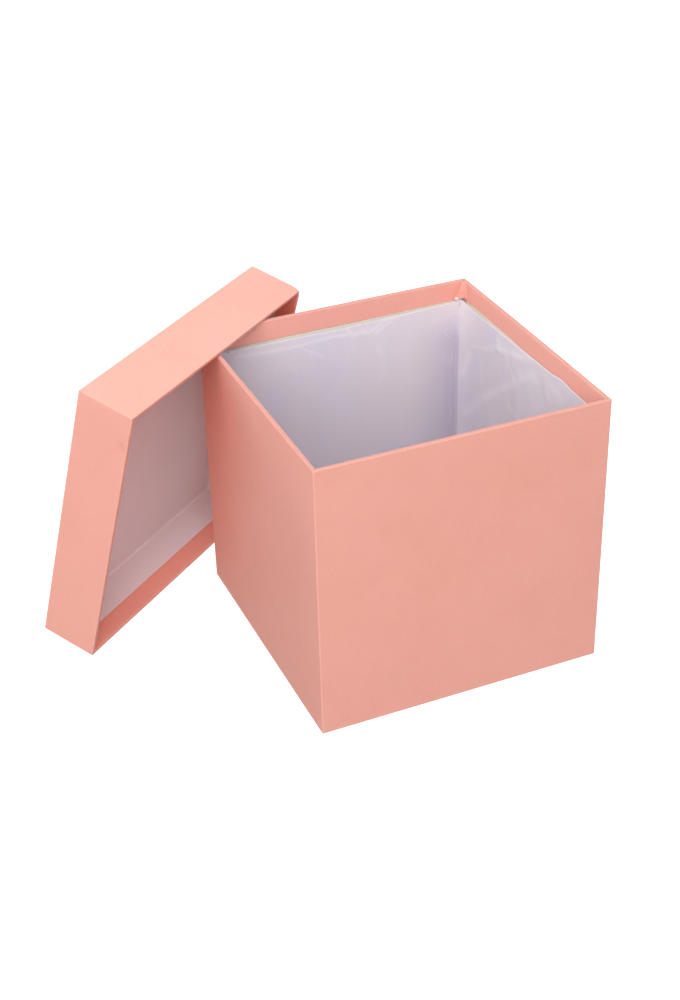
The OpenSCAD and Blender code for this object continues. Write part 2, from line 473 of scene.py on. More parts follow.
def plan_point(station, half, radius):
    """Where a station lies in plan on a rounded square, and which way is outward there."""
    side, along, turn = station
    angle = turn * math.pi / 2
    outward = Vector((math.sin(angle), -math.cos(angle)))
    core = half - radius
    spin = Matrix.Rotation(side * math.pi / 2, 2)
    return spin @ (Vector((along * core, -core)) + radius * outward), spin @ outward


def sweep(profile, half, radius, bend):
    """Rows of (point, fold) round a rounded square of that half width, a row for each profile point.

    bend(station, inset, height) gives how far a point moves outward and up."""
    rows = []
    for inset, height, fold in profile:
        row = []
        for station in RING:
            point, outward = plan_point(station, half - inset, max(radius - inset, LEAST_R))
            out, rise = bend(station, inset, height)
            point += outward * out
            corner = CORNER_FOLD if station[2] > 0 else 0.0
            row.append((Vector((point.x, point.y, height + rise)), max(fold, corner)))
        rows.append(row)
    return rows


def add_grid(mesh, rows, close_rows=False, close_columns=True, cap=False):
    """Adds the rows of (point, fold) to a bmesh as a grid of quads."""
    fold_layer = mesh.verts.layers.float.get("fold") or mesh.verts.layers.float.new("fold")
    grid = []
    for row in rows:
        verts = [mesh.verts.new(point) for point, _ in row]
        for vert, (_, fold) in zip(verts, row):
            vert[fold_layer] = fold
        grid.append(verts)
    across = len(grid[0])
    for index in range(len(grid) if close_rows else len(grid) - 1):
        lower, upper = grid[index], grid[(index + 1) % len(grid)]
        for column in range(across if close_columns else across - 1):
            after = (column + 1) % across
            mesh.faces.new((lower[column], lower[after], upper[after], upper[column]))
    if cap:
        close_fan(mesh, grid[0])
        close_fan(mesh, grid[-1])
    return grid


def close_fan(mesh, ring):
    """Closes a small ring of vertices with triangles to its middle."""
    middle = mesh.verts.new(sum((vert.co for vert in ring), Vector()) / len(ring))
    for vert, after in zip(ring, ring[1:] + ring[:1]):
        mesh.faces.new((vert, after, middle))


def thicken(mesh, rim, thickness):
    """Adds a second skin that far inside an open bag, and joins the two round its rim."""
    bmesh.ops.recalc_face_normals(mesh, faces=mesh.faces)
    mesh.normal_update()
    inward = -1 if rim[0].normal.dot(rim[0].co) > 0 else 1
    faces = mesh.faces[:]
    layers = list(mesh.verts.layers.float.values())
    twins = {}
    for vert in mesh.verts[:]:
        twins[vert] = mesh.verts.new(vert.co + vert.normal * inward * thickness)
        for layer in layers:
            twins[vert][layer] = vert[layer]
    for face in faces:
        mesh.faces.new([twins[vert] for vert in reversed(face.verts)])
    for vert, after in zip(rim, rim[1:] + rim[:1]):
        mesh.faces.new((vert, twins[vert], twins[after], after))


def stain_and_shade(mesh, marks):
    """Writes marks, each (place, radius, strength) in millimetres, as a vertex attribute: real stains or
    painted shade.
    """
    layer = mesh.verts.layers.float["stain_and_shade"]
    for vert in mesh.verts:
        for place, radius, strength in marks:
            away = (vert.co / MM - Vector(place)).length / radius
            vert[layer] = max(vert[layer], strength * math.exp(-away * away))


def add_object(name, data):
    made = bpy.data.objects.new(name, data)
    bpy.context.scene.collection.objects.link(made)
    return made


def add_mesh(name, mesh, material, matrix=None):
    """Turns a bmesh into a smooth-shaded object."""
    data = bpy.data.meshes.new(name)
    mesh.to_mesh(data)
    mesh.free()
    if matrix:
        data.transform(matrix)
    data.polygons.foreach_set("use_smooth", [True] * len(data.polygons))
    data.materials.append(material)
    return add_object(name, data)


def make_piece(name, mesh, finish, body, replaced, matrix=None):
    """Turns a bmesh into a piece that rides on a CAD body and stands for CAD nodes."""
    bmesh.ops.recalc_face_normals(mesh, faces=mesh.faces)
    piece = add_mesh(name, mesh, MATERIALS[finish], matrix)
    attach(piece, body)
    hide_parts(*replaced)
    return piece


# ---- the box's covering paper

RIM_BOW = 0.4 * MM
RIM_BOW_DEPTH = 70 * MM
# Painted shade: the rim's top, and darker still the turn-in's slits at its corners
RIM_PAINTED_SHADE = 0.42
SLIT_PAINTED_SHADE = 1.0
SLIT_PAINTED_SHADE_R = 0.75
LAP_WIDTH = 11 * MM
LAP_STEP = 0.15 * MM
LAP_FADE = 3 * MM
BUMP_PLACE = 0.58
BUMP_WIDTH = 0.02
BUMP_HEIGHT = 0.18 * MM


def box_wrap_profile():
    """The paper's closed section: under the base, up the wall, over the rim and down inside."""
    low, outer = UNDER_Z, FOOT_FOLD_R
    path = [(TURN_UNDER, low, 0.0)]
    path += line((TURN_UNDER, low), (outer, low), 4 * MM)
    radii = (outer, RIM_FOLD_R)
    path += turned_in(low, RIM_Z, WALL, TURN_IN_Z, radii, (0.5, 0.35, 0.25), (6 * MM, 6 * MM))
    path += line((outer, low + PAPER), (TURN_UNDER, low + PAPER), 4 * MM)
    path += [(TURN_UNDER, low + PAPER, 0.0)]
    return path


def bend_box_wrap(station, inset, height):
    """The rim's slight bow and uneven edge with a bump, and the lap on the back wall."""
    side, along, _ = station
    near_rim = smooth(height, RIM_Z - RIM_BOW_DEPTH, RIM_Z)
    share = max(0.0, 1 - inset / WALL)
    out = RIM_BOW * held_at_corners(along, 2) * near_rim * share
    rise = edge_rise(station, inset, height, RIM_Z, TURN_IN_Z, WALL, (14, 1), (22, 2))
    if side == FRONT and height > RIM_Z - EDGE_REACH:
        rise += BUMP_HEIGHT * math.exp(-(((along - BUMP_PLACE) / BUMP_WIDTH) ** 2))
    if side == BACK and inset < PAPER and (1 + along) * BOX_HALF < LAP_WIDTH:
        out += LAP_STEP * near_lap(height)
    return out, rise


def near_lap(height):
    """The wall's lap fades into the folds at the rim and the foot."""
    return smooth(height, UNDER_Z, UNDER_Z + LAP_FADE) * (1 - smooth(height, RIM_Z - LAP_FADE, RIM_Z))


# The turned-in paper's ear on the back wall, beside the back right corner, in millimetres: (distance of its
# free edge from the corner, drop below the rim at that edge, and at the corner)
EAR_ROWS = [(0.9, 0.9, 0.9), (2.6, 3.4, 3.2), (4.4, 6.3, 5.9), (6.2, 9.2, 8.0), (7.6, 11.5, 9.8),
            (6.8, 13.2, 11.9), (5.6, 15.4, 13.3)]
# Its plan: (share of the way from the corner to the free edge, distance in front of the back wall)
EAR_PLAN = [(1.0, 0.75), (0.94, 0.6), (0.75, 0.45), (0.5, 0.45), (0.28, 0.8), (0.12, 1.9), (0.04, 3.6),
            (-0.02, 6.5)]
EAR_EDGE_FOLD = 0.8
EAR_TORN = {-1: 5, -2: 3}


def add_ear(mesh):
    """The folded ear of the turn-in, lapped over the back wall's, with its torn white tip."""
    torn = mesh.verts.layers.float["torn"]
    rows = []
    for width, edge_drop, corner_drop in EAR_ROWS:
        row = []
        for share, forward in EAR_PLAN:
            drop = corner_drop + (edge_drop - corner_drop) * max(0.0, share)
            forward *= min(1.0, 0.5 + width / 12)
            point = Vector((FACE_HALF - share * width * MM, FACE_HALF - forward * MM, RIM_Z - drop * MM))
            row.append((point, EAR_EDGE_FOLD if share > 0.9 else 0.0))
        rows.append(row)
    grid = add_grid(mesh, rows, close_columns=False)
    for row, count in EAR_TORN.items():
        for vert in grid[row][:count]:
            vert[torn] = 1.0
    faces = list(dict.fromkeys(face for row in grid for vert in row for face in vert.link_faces))
    bmesh.ops.recalc_face_normals(mesh, faces=faces)
    bmesh.ops.solidify(mesh, geom=faces, thickness=PAPER)


def paint_rim_shade(mesh):
    """Darkens the top of the rim with painted shade, and paints darker shade into the turn-in's slits at its
    inner corners.
    """
    layer = mesh.verts.layers.float["stain_and_shade"]
    for vert in mesh.verts:
        vert[layer] = RIM_PAINTED_SHADE * smooth(vert.co.z, RIM_Z - RIM_FOLD_R, RIM_Z - RIM_UNEVEN)
    reach = (FACE_HALF + RIM_FOLD_R / 2) / MM
    corners = [(x * reach, y * reach, RIM_Z / MM) for x in (-1, 1) for y in (-1, 1)]
    stain_and_shade(mesh, [(corner, SLIT_PAINTED_SHADE_R, SLIT_PAINTED_SHADE) for corner in corners])


def box_wrap():
    mesh = bmesh.new()
    for layer in ("fold", "torn", "stain_and_shade"):
        mesh.verts.layers.float.new(layer)
    add_grid(mesh, sweep(box_wrap_profile(), BOX_HALF, CORNER_R, bend_box_wrap), close_rows=True)
    paint_rim_shade(mesh)
    add_ear(mesh)
    return make_piece("box_wrap", mesh, "pink_paper", "box", ["wall_wrap"])


# ---- the lid's covering paper and lining

LID_FOLD_R = 0.55 * MM
LID_CORNER_R = 0.5 * MM
LID_WALL = LID_HALF - LID_INNER_HALF + PAPER
LID_STEPS_IN = [4 * MM, 12 * MM, 26 * MM, 44 * MM, 66 * MM, 86 * MM]
LINING_SOFT_R = 1.6 * MM
LINING_LIFT = 0.25 * MM
LINING_LIFT_REACH = 8 * MM
LID_LAP_STEP = 0.1 * MM
LID_LAP_WAVE = 0.12 * MM

# The far upper corner of the lid's free edge is crushed
CRUSH_CORNER = Vector((LID_HALF, LID_HALF, LID_DEPTH))
CRUSH_REACH = 6 * MM
CRUSH = Vector((-0.7, -0.7, -0.6)) * MM
CRUSH_CUTS = 5
# At the near upper corner, after BACK in the lid's own frame, the paper's fold stands out as a small tab
TAB_CORNER = BACK
TAB_REACH = 2.6 * MM
TAB_OUT = 0.7 * MM


def tab_reach(station):
    """How far a station is from the tab's corner along the ring, in metres."""
    side, along, turn = station
    if side == TAB_CORNER:
        return (1 - along) * LID_HALF
    if side == (TAB_CORNER + 1) % 4 and turn == 0:
        return (1 + along) * LID_HALF
    return 2 * LID_HALF


def towards_middle(height, first):
    """Profile points from an edge to the middle of the lid's panel."""
    points = [(inset, height, 0.0) for inset in LID_STEPS_IN if inset > first]
    return points + [(LID_HALF - 0.5 * MM, height, 0.0)]


def lid_cover_profile():
    """The lid paper's section: from the panel's middle up the skirt, round its edge and back inside."""
    fold = LID_FOLD_R
    path = list(reversed(towards_middle(0.0, 1 * MM)))
    path += [(fold + 0.4 * MM, 0.0, 0.0)]
    radii = (fold, fold)
    path += turned_in(0.0, LID_DEPTH, LID_WALL, LID_TURN_IN_Z, radii, (0.1, 0.25, 0.2), (4 * MM, 5 * MM))
    path += towards_middle(PAPER, 1 * MM)
    return path


def bend_lid_cover(station, inset, height):
    """The near and far flaps' laps, the uneven free edge and the worn tab."""
    side, along, turn = station
    out = 0.0
    if side in (RIGHT, LEFT) and inset < PAPER and abs(along) < NEAR_CORNER[1] and turn == 0:
        wave = LID_LAP_WAVE * wobble(along_ring(station), height / MM, 15, 9)
        out += LID_LAP_STEP + wave * held_at_corners(along, 4)
    if inset < PAPER:
        tab = math.hypot(tab_reach(station), LID_DEPTH - TAB_REACH - height)
        out += TAB_OUT * (1 - smooth(tab, 0, TAB_REACH))
    return out, edge_rise(station, inset, height, LID_DEPTH, LID_TURN_IN_Z, LID_WALL, (12, 5), (20, 6))


# Marks on the lid's paper: (place in the lid's own frame, radius, strength), in millimetres
LID_STAINS = [((-103.2, 80.1, 35.6), 2.6, 0.21), ((-103.1, 103.1, 0.2), 0.8, 0.55)]


def crush(mesh):
    """Pushes the crushed corner in. The paper and the boards under it move together."""
    for vert in mesh.verts:
        vert.co += CRUSH * (1 - smooth((vert.co - CRUSH_CORNER).length, 0, CRUSH_REACH))


def crushed_core(node, finish):
    """A copy of a hidden board or stay, cut finely at the crushed corner and pushed in."""
    mesh = bmesh.new()
    mesh.from_mesh(NODES[node].data)
    bmesh.ops.transform(mesh, matrix=LID.inverted(), verts=mesh.verts)
    for axis in range(3):
        normal = Matrix.Identity(3)[axis]
        for cut in range(1, CRUSH_CUTS + 1):
            geometry = mesh.verts[:] + mesh.edges[:] + mesh.faces[:]
            place = CRUSH_CORNER - normal * CRUSH_REACH * cut / CRUSH_CUTS
            bmesh.ops.bisect_plane(mesh, geom=geometry, plane_co=place, plane_no=normal)
    crush(mesh)
    made = make_piece(f"{node}_worn", mesh, finish, "lid", [node], LID)
    made.data.polygons.foreach_set("use_smooth", [False] * len(made.data.polygons))
    return made


def lid_cover():
    mesh = bmesh.new()
    mesh.verts.layers.float.new("stain_and_shade")
    rows = sweep(lid_cover_profile(), LID_HALF, LID_CORNER_R, bend_lid_cover)
    add_grid(mesh, rows, cap=True)
    crush(mesh)
    stain_and_shade(mesh, LID_STAINS)
    replaced = [f"lid_wrap_{side}" for side in ("panel", "lower", "far", "upper", "near")]
    return make_piece("lid_cover", mesh, "pink_paper", "lid", replaced, LID)


def lid_lining_profile():
    """The lining's section: down the skirt, round a soft junction and across the panel."""
    soft = LINING_SOFT_R
    floor_z = LID_LINING_LOW + PAPER
    hidden = LID_HALF - LID_INNER_HALF
    path = list(reversed(towards_middle(LID_LINING_LOW, hidden)))
    path += [(hidden, LID_LINING_LOW, 0.0), (hidden, LID_TURN_IN_Z, 0.0), (LID_WALL, LID_TURN_IN_Z, 0.0)]
    path += line((LID_WALL, LID_TURN_IN_Z), (LID_WALL, floor_z + soft), 3 * MM)
    path += arc((LID_WALL + soft, floor_z + soft), soft, 180, 270, 6)
    path += [(LID_WALL + soft + 1 * MM, floor_z, 0.0)]
    path += towards_middle(floor_z, LID_WALL + soft + 1 * MM)
    return path


def bend_lid_lining(station, inset, height):
    """The lining lifts a little along its junctions."""
    if inset <= LID_WALL or height > LID_LINING_LOW + 2 * LINING_SOFT_R:
        return 0.0, 0.0
    near_edge = math.exp(-(inset - LID_WALL) / LINING_LIFT_REACH)
    return 0.0, LINING_LIFT * near_edge * (1 + wobble(along_ring(station), 0, 25, 8))


def lid_lining():
    mesh = bmesh.new()
    add_grid(mesh, sweep(lid_lining_profile(), LID_HALF, CORNER_R, bend_lid_lining), cap=True)
    return make_piece("lid_lining_paper", mesh, "lining_paper", "lid", ["lid_lining"], LID)


# ---- the film liner

FILM_T = 0.1 * MM
FILM_CLEAR = 0.08 * MM
FILM_CORNER = 34 * MM
FILM_FLOOR_R = 9 * MM
FILM_SIDE_STEPS = {FRONT: 48, RIGHT: 96, BACK: 96, LEFT: 48}
FILM_CORNER_STEPS = 40
FILM_FINE_DEPTH = 66 * MM
FILM_FINE_ROWS = 58
FILM_LOW_ROWS = 30
FILM_FOOT_ROWS = 8
FILM_FLOOR_ROWS = 26
FILM_EDGE_DEPTH = 25 * MM
PLEAT_SIDE = RIGHT
# Painted shade on the film: darker on the wall after the pleat, slightly on the pleat's flap, and fading out
# over the floor
HOLLOW_SHADE_REACH = 50 * MM
HOLLOW_SHADE_MOST = 0.75
FLAP_SHADE = 0.15
FLOOR_PUFF = 0.9 * MM
FLOOR_PUFF_REACH = 20 * MM
FLOOR_SHADE_REACH = 30 * MM

# The film's top edge: (place along the wall from -1 to 1, height above the CAD film's top in millimetres)
FILM_EDGE = {
    FRONT: [(-1, 0.6), (-0.4, -0.4), (0.3, 0.5), (1, 3.6)],
    RIGHT: [(-1, 3.6), (-0.78, 3.6), (-0.6, 4.2), (-0.46, 5.5), (-0.3, 3.7), (0, 3.4), (0.16, 2.4),
            (0.4, 1.9), (0.75, 1.1), (1, 3.2)],
    BACK: [(-1, 3.2), (-0.9, 2.3), (-0.8, 1.9), (-0.49, 1.2), (-0.2, 0.4), (0.04, 0), (0.29, 0.6),
           (0.84, 1.1), (1, 1.2)],
    LEFT: [(-1, 0.4), (-0.3, 0.9), (0.4, -0.3), (1, 0.9)],
}

# Creases, in millimetres: (wall, first point, stretches). Points are (place along the wall, height above the
# ground), and each stretch is (its last point, how high it stands, its half width).
CREASES = [
    (RIGHT, (78, 153), [(62, 158, 0.5, 1.6), (43, 166, 0.8, 2.0), (-3, 176, 0.9, 2.2), (-20, 181, 0.6, 1.8)]),
    (RIGHT, (45, 165), [(42, 174, 0.7, 1.3), (38, 168, 0.5, 1.3)]),
    (RIGHT, (84, 96), [(62, 119, 0.6, 3.0), (18, 152, 0.75, 3.4), (-9, 169, 0.6, 2.4)]),
    (RIGHT, (87, 127), [(81, 146, 0.6, 2.5)]),
    (RIGHT, (24, 131), [(7, 127, 0.7, 1.8), (-3, 112, 0.4, 2.4)]),
    (RIGHT, (-7, 163), [(-14, 165, 0.8, 1.2)]),
    (RIGHT, (66, 146), [(65, 131, 0.4, 1.8)]),
    (BACK, (76, 173), [(57, 171.8, 0.8, 1.2), (29, 171.3, 0.9, 1.2), (5, 173.8, 0.9, 1.2),
                       (-24, 170.3, 0.8, 1.2), (-36, 177, 0.9, 1.2), (-62, 178, 0.6, 1.4)]),
    (BACK, (-7, 177.5), [(-12, 170, 0.8, 1.1), (-21, 172.5, 0.8, 1.1)]),
    (BACK, (-29, 169), [(-37, 173.5, 0.8, 1.2), (-48, 179, 0.8, 1.2)]),
    (BACK, (61, 176), [(50, 179, 0.6, 1.1)]),
    (BACK, (24, 167), [(12, 160, 0.4, 1.6)]),
    (BACK, (-31, 157), [(-35, 146, 0.4, 2.6), (-33, 132, 0.35, 3.0)]),
    (LEFT, (70, 168), [(20, 172, 0.6, 1.6), (-60, 160, 0.6, 2.0)]),
    (LEFT, (-80, 150), [(-40, 110, 0.7, 4.5)]),
    (FRONT, (-75, 160), [(-20, 172, 0.7, 2.0)]),
    (FRONT, (10, 171), [(70, 165, 0.6, 1.8)]),
    (FRONT, (60, 120), [(85, 80, 0.7, 4.5)]),
]
# Creases are paler: partly stress whitening, partly a painted highlight along their ridges.
CREASE_WHITENING_AND_HIGHLIGHT = 0.6
CREASE_RELIEF = 0.14
CREASE_REACH = 4
# Creases fade out between these distances from a corner
CREASE_FADE = (4 * MM, 20 * MM)


def crease_stretches():
    """Each wall's creases as straight stretches: (first end, way to the last end, height, half width)."""
    stretches = {side: [] for side in range(4)}
    for wall, start, path in CREASES:
        first = Vector(start)
        for along, height, rise, width in path:
            last = Vector((along, height))
            stretches[wall].append((first, last - first, rise, width))
            first = last
    return stretches


STRETCHES = crease_stretches()


def between(points, place):
    """Height at a place on a smooth line through (place, height) points."""
    for (first, low), (last, high) in zip(points, points[1:]):
        if place <= last:
            return low + (high - low) * smooth(place, first, last)
    return points[-1][1]


def crease_height(side, along, height):
    """How far creases lift the film off its wall, in millimetres, and how pale they make it: partly stress
    whitening, partly painted highlight.
    """
    lift = 0.0
    pale = 0.0
    for first, way, rise, width in STRETCHES[side]:
        offset = Vector((along, height)) - first
        share = min(1.0, max(0.0, offset.dot(way) / way.length_squared))
        away = (offset - way * share).length / width
        if away < CREASE_REACH:
            lift += rise / (1 + away * away) ** 1.5
            pale = max(pale, rise * math.exp(-away * away))
    return lift, min(1.0, pale * CREASE_WHITENING_AND_HIGHLIGHT)


def spline(points, count):
    """That many points along a Catmull-Rom curve through plan points, without its two ends."""
    padded = [points[0] * 2 - points[1]] + points + [points[-1] * 2 - points[-2]]
    spans = len(points) - 1
    made = []
    for step in range(count):
        place = (step + 1) / (count + 1) * spans
        index = min(int(place), spans - 1)
        t = place - index
        a, b, c, d = padded[index:index + 4]
        bend = (2 * a - 5 * b + 4 * c - d) * t ** 2 + (3 * b - a - 3 * c + d) * t ** 3
        made.append(0.5 * (2 * b + (c - a) * t + bend))
    return made


# The pleat in plan at its full size, in millimetres: (back from the corner, in from the wall before it)
PLEAT = [(25, 0.6), (18, 1.8), (12, 3.5), (7, 5.7), (3.4, 7.8), (1.7, 8.3), (0.7, 8.6), (0.1, 9.8), (0, 12),
         (0, 16), (0, 24)]
PLEAT_TIP = 8.2
# How a corner of the film opens with its depth, in millimetres: (size at the top, growth, depth, unevenness)
PLEAT_OPENING = (1.0, 6.8, 14, 0.35)
TURN_OPENING = (3, 7, 30, 0.8)


def opened(opening, depth, wave):
    """Size of a corner's fold at a depth, in millimetres, with wave from -1 to 1."""
    first, growth, reach, uneven = opening
    return first + growth * (1 - math.exp(-depth / reach)) + uneven * wave


def corner_points(side, depth):
    """Plan points of the film past a side's last corner, in mm: (back from the corner, in from the wall)."""
    reach = FILM_CORNER / MM
    if side == PLEAT_SIDE:
        size = opened(PLEAT_OPENING, depth, wobble(depth, 0, 16, 3)) / PLEAT_TIP
        middle = [(b * size if b < 5 else b, c * size if c < 9 else c) for b, c in PLEAT]
    else:
        radius = opened(TURN_OPENING, depth, wobble(depth, side * 9, 20, 4))
        middle = [(radius * 1.1, 0.0), (radius * 0.3, radius * 0.3), (0.0, radius * 1.1)]
    return [Vector(point) for point in [(reach, 0.0)] + middle + [(0.0, reach)]]


def film_station(wall, x, height, corner_away):
    """The film at one place: rise of its edge and lift from the wall, in metres, paleness and painted shade.
    """
    depth = (FILM_TOP_Z - height) / MM
    lift, pale = crease_height(wall, x / MM, height / MM)
    lift *= CREASE_RELIEF * MM * smooth(corner_away, *CREASE_FADE)
    near_edge = smooth(height, FILM_TOP_Z - FILM_EDGE_DEPTH, FILM_TOP_Z)
    rise = between(FILM_EDGE[wall], x / FILM_HALF) * MM * near_edge
    hollow_shade = 0.0
    if wall == (PLEAT_SIDE + 1) % 4:
        hollow_shade = HOLLOW_SHADE_MOST * (1 - smooth(FILM_HALF + x, 4 * MM, HOLLOW_SHADE_REACH) ** 0.6)
    elif wall == PLEAT_SIDE:
        hollow_shade = FLAP_SHADE * smooth(x, FILM_HALF - FILM_CORNER, FILM_HALF - FILM_CORNER / 2)
    return rise, lift, pale, hollow_shade * smooth(depth, 2, 30)


def film_ring(height, side_steps, corner_steps, offset):
    """A closed ring of the film at a height, as (plan point, rise of the edge, paleness, painted shade).

    offset(side, along, height) is how far in from the wall the film is, in metres."""
    depth = max(0.0, (FILM_TOP_Z - height) / MM)
    core = FILM_HALF - FILM_CORNER
    ring = []
    for side in range(4):
        spin = Matrix.Rotation(side * math.pi / 2, 2)
        for step in range(side_steps[side] + 1):
            along = -1 + 2 * step / side_steps[side]
            x = along * core
            rise, lift, pale, hollow_shade = film_station(side, x, height, FILM_HALF - abs(x))
            slack = offset(side, along, height) * smooth(depth, 0, 14) * (1 - abs(along) ** 6)
            place = Vector((x, -FILM_HALF + FILM_CLEAR + max(0.0, slack + lift)))
            ring.append((spin @ place, rise, pale, hollow_shade))
        for point in spline(corner_points(side, depth), corner_steps):
            before, after = point * MM
            if before > after:
                rise, lift, pale, hollow_shade = film_station(side, FILM_HALF - before, height, before)
                after += lift
            else:
                rise, lift, pale, hollow_shade = film_station((side + 1) % 4, after - FILM_HALF, height, after)
                before += lift
            before, after = max(before, FILM_CLEAR), max(after, FILM_CLEAR)
            ring.append((spin @ Vector((FILM_HALF - before, -FILM_HALF + after)), rise, pale, hollow_shade))
    return ring


def film_heights(rows, fine_rows, fine_depth):
    """Heights of the rings, from the top edge down to the rounded foot, closer together near the top."""
    foot = FILM_LOW_Z + FILM_FLOOR_R
    start = FILM_TOP_Z - fine_depth
    fine = [FILM_TOP_Z - fine_depth * index / fine_rows for index in range(fine_rows)]
    return fine + [start + (foot - start) * index / rows for index in range(rows + 1)]


# Cloth simulation of the slack walls, on a coarse grid
SLACK_STEPS = 24
SLACK_CORNER_STEPS = 9
SLACK_SPAN = SLACK_STEPS + 1 + SLACK_CORNER_STEPS
SLACK_ROWS = 26
SLACK_FRAMES = 22
SLACK_CAP = 0.9 * MM
SLACK_SHARE = {FRONT: 1.0, RIGHT: 0.65, BACK: 0.3, LEFT: 1.0}
SLACK_START = 0.5 * MM
SLACK_GRAVITY = 0.3
CLOTH = {
    "quality": 6,
    "mass": 0.05,
    "tension_stiffness": 25,
    "compression_stiffness": 25,
    "shear_stiffness": 10,
    "bending_stiffness": 0.05,
    "air_damping": 4,
    "shrink_min": -0.006,
    "vertex_group_mass": "pins",
}


def plain_offset(side, along, height):
    return SLACK_START * (1 + wobble(along * 90, height / MM, 45, side + 1))


def simulate_slack():
    """Hangs the oversize film walls as cloth. Returns the rings' heights and their settled points."""
    heights = film_heights(SLACK_ROWS, 0, 0.0)
    rows = []
    for height in heights:
        ring = film_ring(height, [SLACK_STEPS] * 4, SLACK_CORNER_STEPS, plain_offset)
        rows.append([(Vector((point.x, point.y, height)), 0.0) for point, _, _, _ in ring])
    mesh = bmesh.new()
    grid = add_grid(mesh, rows)
    mesh.verts.index_update()
    held = [vert.index for row in (grid[0], grid[-1]) for vert in row]
    piece = add_mesh("slack", mesh, None)
    piece.vertex_groups.new(name="pins").add(held, 1.0, "REPLACE")
    cloth = piece.modifiers.new("cloth", "CLOTH")
    for name, value in CLOTH.items():
        setattr(cloth.settings, name, value)
    cloth.settings.effector_weights.gravity = SLACK_GRAVITY
    cloth.collision_settings.use_collision = False
    scene = bpy.context.scene
    for frame_number in range(1, SLACK_FRAMES + 1):
        scene.frame_set(frame_number)
    shape = piece.evaluated_get(bpy.context.evaluated_depsgraph_get()).to_mesh()
    points = [vertex.co.copy() for vertex in shape.vertices]
    scene.frame_set(1)
    bpy.data.objects.remove(piece)
    across = 4 * SLACK_SPAN
    return heights, [points[row * across:(row + 1) * across] for row in range(len(heights))]


def slack_offset(heights, rows):
    """A function that reads the simulated offset from the wall at a place, in metres."""
    def offset(side, along, height):
        place = (along + 1) / 2 * SLACK_STEPS
        column = min(int(place), SLACK_STEPS - 1)
        row_place = (heights[0] - height) / (heights[0] - heights[-1]) * (len(heights) - 1)
        row = min(max(int(row_place), 0), len(heights) - 2)
        spin = Matrix.Rotation(-side * math.pi / 2, 2)
        total = 0.0
        for down in (0, 1):
            for right in (0, 1):
                share = abs(1 - down - (row_place - row)) * abs(1 - right - (place - column))
                point = rows[row + down][side * SLACK_SPAN + column + right]
                total += share * (spin @ point.xy).y
        return SLACK_SHARE[side] * min(SLACK_CAP, max(0.0, total + FILM_HALF))
    return offset


def film_floor(ring):
    """Rows from the walls' last ring, round the foot and over the slightly puffed floor, where the walls'
    painted shade fades out.
    """
    turns = [math.radians(90 * step / FILM_FOOT_ROWS) for step in range(1, FILM_FOOT_ROWS + 1)]
    drop = FILM_FLOOR_R - FILM_T
    foot_z = FILM_LOW_Z + FILM_FLOOR_R
    path = [(FILM_FLOOR_R * (1 - math.cos(turn)), foot_z - drop * math.sin(turn)) for turn in turns]
    for step in range(1, FILM_FLOOR_ROWS):
        inset = FILM_FLOOR_R + (FILM_HALF - FILM_FLOOR_R) * step / FILM_FLOOR_ROWS
        path.append((inset, FILM_LOW_Z + FILM_T))
    rows = []
    for inset, height in path:
        share = 1 - inset / FILM_HALF
        row = []
        for (x, y, _), _, hollow_shade in ring:
            x, y = x * share, y * share
            puff = max(0.0, 0.6 + wobble(x / MM, y / MM, 28, 21) + 0.3 * wobble(x / MM, y / MM, 9, 22))
            lift = FLOOR_PUFF * puff * smooth(inset, 0, FLOOR_PUFF_REACH)
            row.append(((x, y, height + lift), 0.0, hollow_shade * (1 - smooth(inset, 0, FLOOR_SHADE_REACH))))
        rows.append(row)
    return rows


def film_bag():
    """The liner bag: slack creased walls with a pleat, a rounded foot and a floor."""
    offset = slack_offset(*simulate_slack())
    rows = []
    for height in film_heights(FILM_LOW_ROWS, FILM_FINE_ROWS, FILM_FINE_DEPTH):
        ring = film_ring(height, FILM_SIDE_STEPS, FILM_CORNER_STEPS, offset)
        rows.append([((point.x, point.y, height + rise), pale, hollow_shade) for point, rise, pale, hollow_shade in ring])
    rows += film_floor(rows[-1])
    mesh = bmesh.new()
    mesh.verts.layers.float.new("hollow_shade")
    grid = add_grid(mesh, [[(point, pale) for point, pale, _ in row] for row in rows])
    hollow_shade_layer = mesh.verts.layers.float["hollow_shade"]
    for verts, row in zip(grid, rows):
        for vert, (_, _, hollow_shade) in zip(verts, row):
            vert[hollow_shade_layer] = hollow_shade
    close_fan(mesh, grid[-1])
    thicken(mesh, grid[0], FILM_T)
    return make_piece("film_bag", mesh, "liner_film", "box", ["film_liner"])


# ---- the tapes that hold the film

TAPE_SPACING = 2.5 * MM
TAPE_RAISE = {FRONT: [(-1, 0.0), (1, 0.3)], RIGHT: [(-1, 0.2), (0, 0.0), (0.6, 1.2), (1, 1.4)],
              BACK: [(-1, 0.6), (0, 0.0), (1, 0.0)], LEFT: [(-1, 0.0), (1, 0.2)]}


